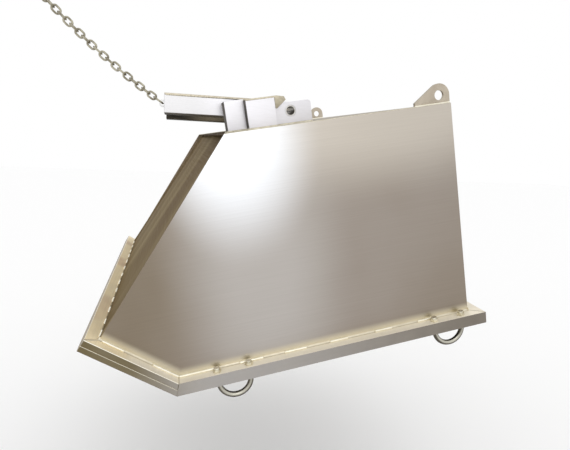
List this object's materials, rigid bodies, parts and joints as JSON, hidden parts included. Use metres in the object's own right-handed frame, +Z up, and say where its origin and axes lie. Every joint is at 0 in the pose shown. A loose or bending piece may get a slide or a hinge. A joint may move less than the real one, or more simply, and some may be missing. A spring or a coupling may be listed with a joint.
{
  "type": "forklift tipping skip",
  "caption": "Steel tipping skip, hanging mouth down from a hinge at the front of two fork sleeves, with a rimmed mouth, lashing rings, lifting lugs and a safety chain.",
  "frame": {"origin": "midway between the two fork sleeves, at their open ends, at the height where the forks' top faces bear on the top plates", "axes": "+X runs along the sleeves from their open ends to the hinge, +Y from the near sleeve to the far one, +Z up"},
  "size_m": [1.781, 1.6, 1.5245],
  "materials": {
    "satin_sheet": "satin brushed stainless sheet, softly clouded",
    "rim_steel": "satin stainless angle with pickled stitch welds",
    "frame_steel": "pale satin stainless plate",
    "bright_steel": "smooth round bar, half polished",
    "zinc_chain": "dull zinc plated, lightly soiled"
  },
  "bodies": {
    "sleeves": {"chain_anchor": "frame_steel", "chain_hook": "zinc_chain", "connecting_ring": "zinc_chain", "far_fork_stop": "frame_steel", "far_inner_ear": "frame_steel", "far_outer_ear": "frame_steel", "far_rest_pad": "frame_steel", "far_sleeve_channel": "frame_steel", "far_sleeve_top_plate": "frame_steel", "front_crossbar": "frame_steel", "near_fork_stop": "frame_steel", "near_inner_ear": "frame_steel", "near_outer_ear": "frame_steel", "near_rest_pad": "frame_steel", "near_sleeve_channel": "frame_steel", "near_sleeve_top_plate": "frame_steel", "rear_crossbar": "frame_steel", "safety_chain": "zinc_chain"},
    "bin": {"bottom_plate": "satin_sheet", "far_front_nut_a": "bright_steel", "far_front_nut_b": "bright_steel", "far_front_rim": "rim_steel", "far_front_ubolt": "bright_steel", "far_hinge_pin": "frame_steel", "far_inner_cheek": "frame_steel", "far_lifting_lug": "satin_sheet", "far_long_rim": "rim_steel", "far_outer_cheek": "frame_steel", "far_rear_nut_a": "bright_steel", "far_rear_nut_b": "bright_steel", "far_rear_ubolt": "bright_steel", "far_side_plate": "satin_sheet", "far_stop_block": "frame_steel", "front_slope_plate": "satin_sheet", "lip_rim": "rim_steel", "near_front_guide": "frame_steel", "near_front_nut_a": "bright_steel", "near_front_nut_b": "bright_steel", "near_front_rim": "rim_steel", "near_front_ubolt": "bright_steel", "near_hinge_pin": "frame_steel", "near_inner_cheek": "frame_steel", "near_lifting_lug": "satin_sheet", "near_long_rim": "rim_steel", "near_outer_cheek": "frame_steel", "near_rear_guide": "frame_steel", "near_rear_nut_a": "bright_steel", "near_rear_nut_b": "bright_steel", "near_rear_ubolt": "bright_steel", "near_side_plate": "satin_sheet", "near_stop_block": "frame_steel", "rear_rim": "rim_steel", "rear_wall": "satin_sheet"}
  },
  "joints": [
    {"name": "bin_tip", "type": "hinge", "parent": "sleeves", "child": "bin", "pos_m": [0.478, 0, -0.031], "axis": [0, -1, 0], "range_deg": [0, 169.3]}
  ]
}
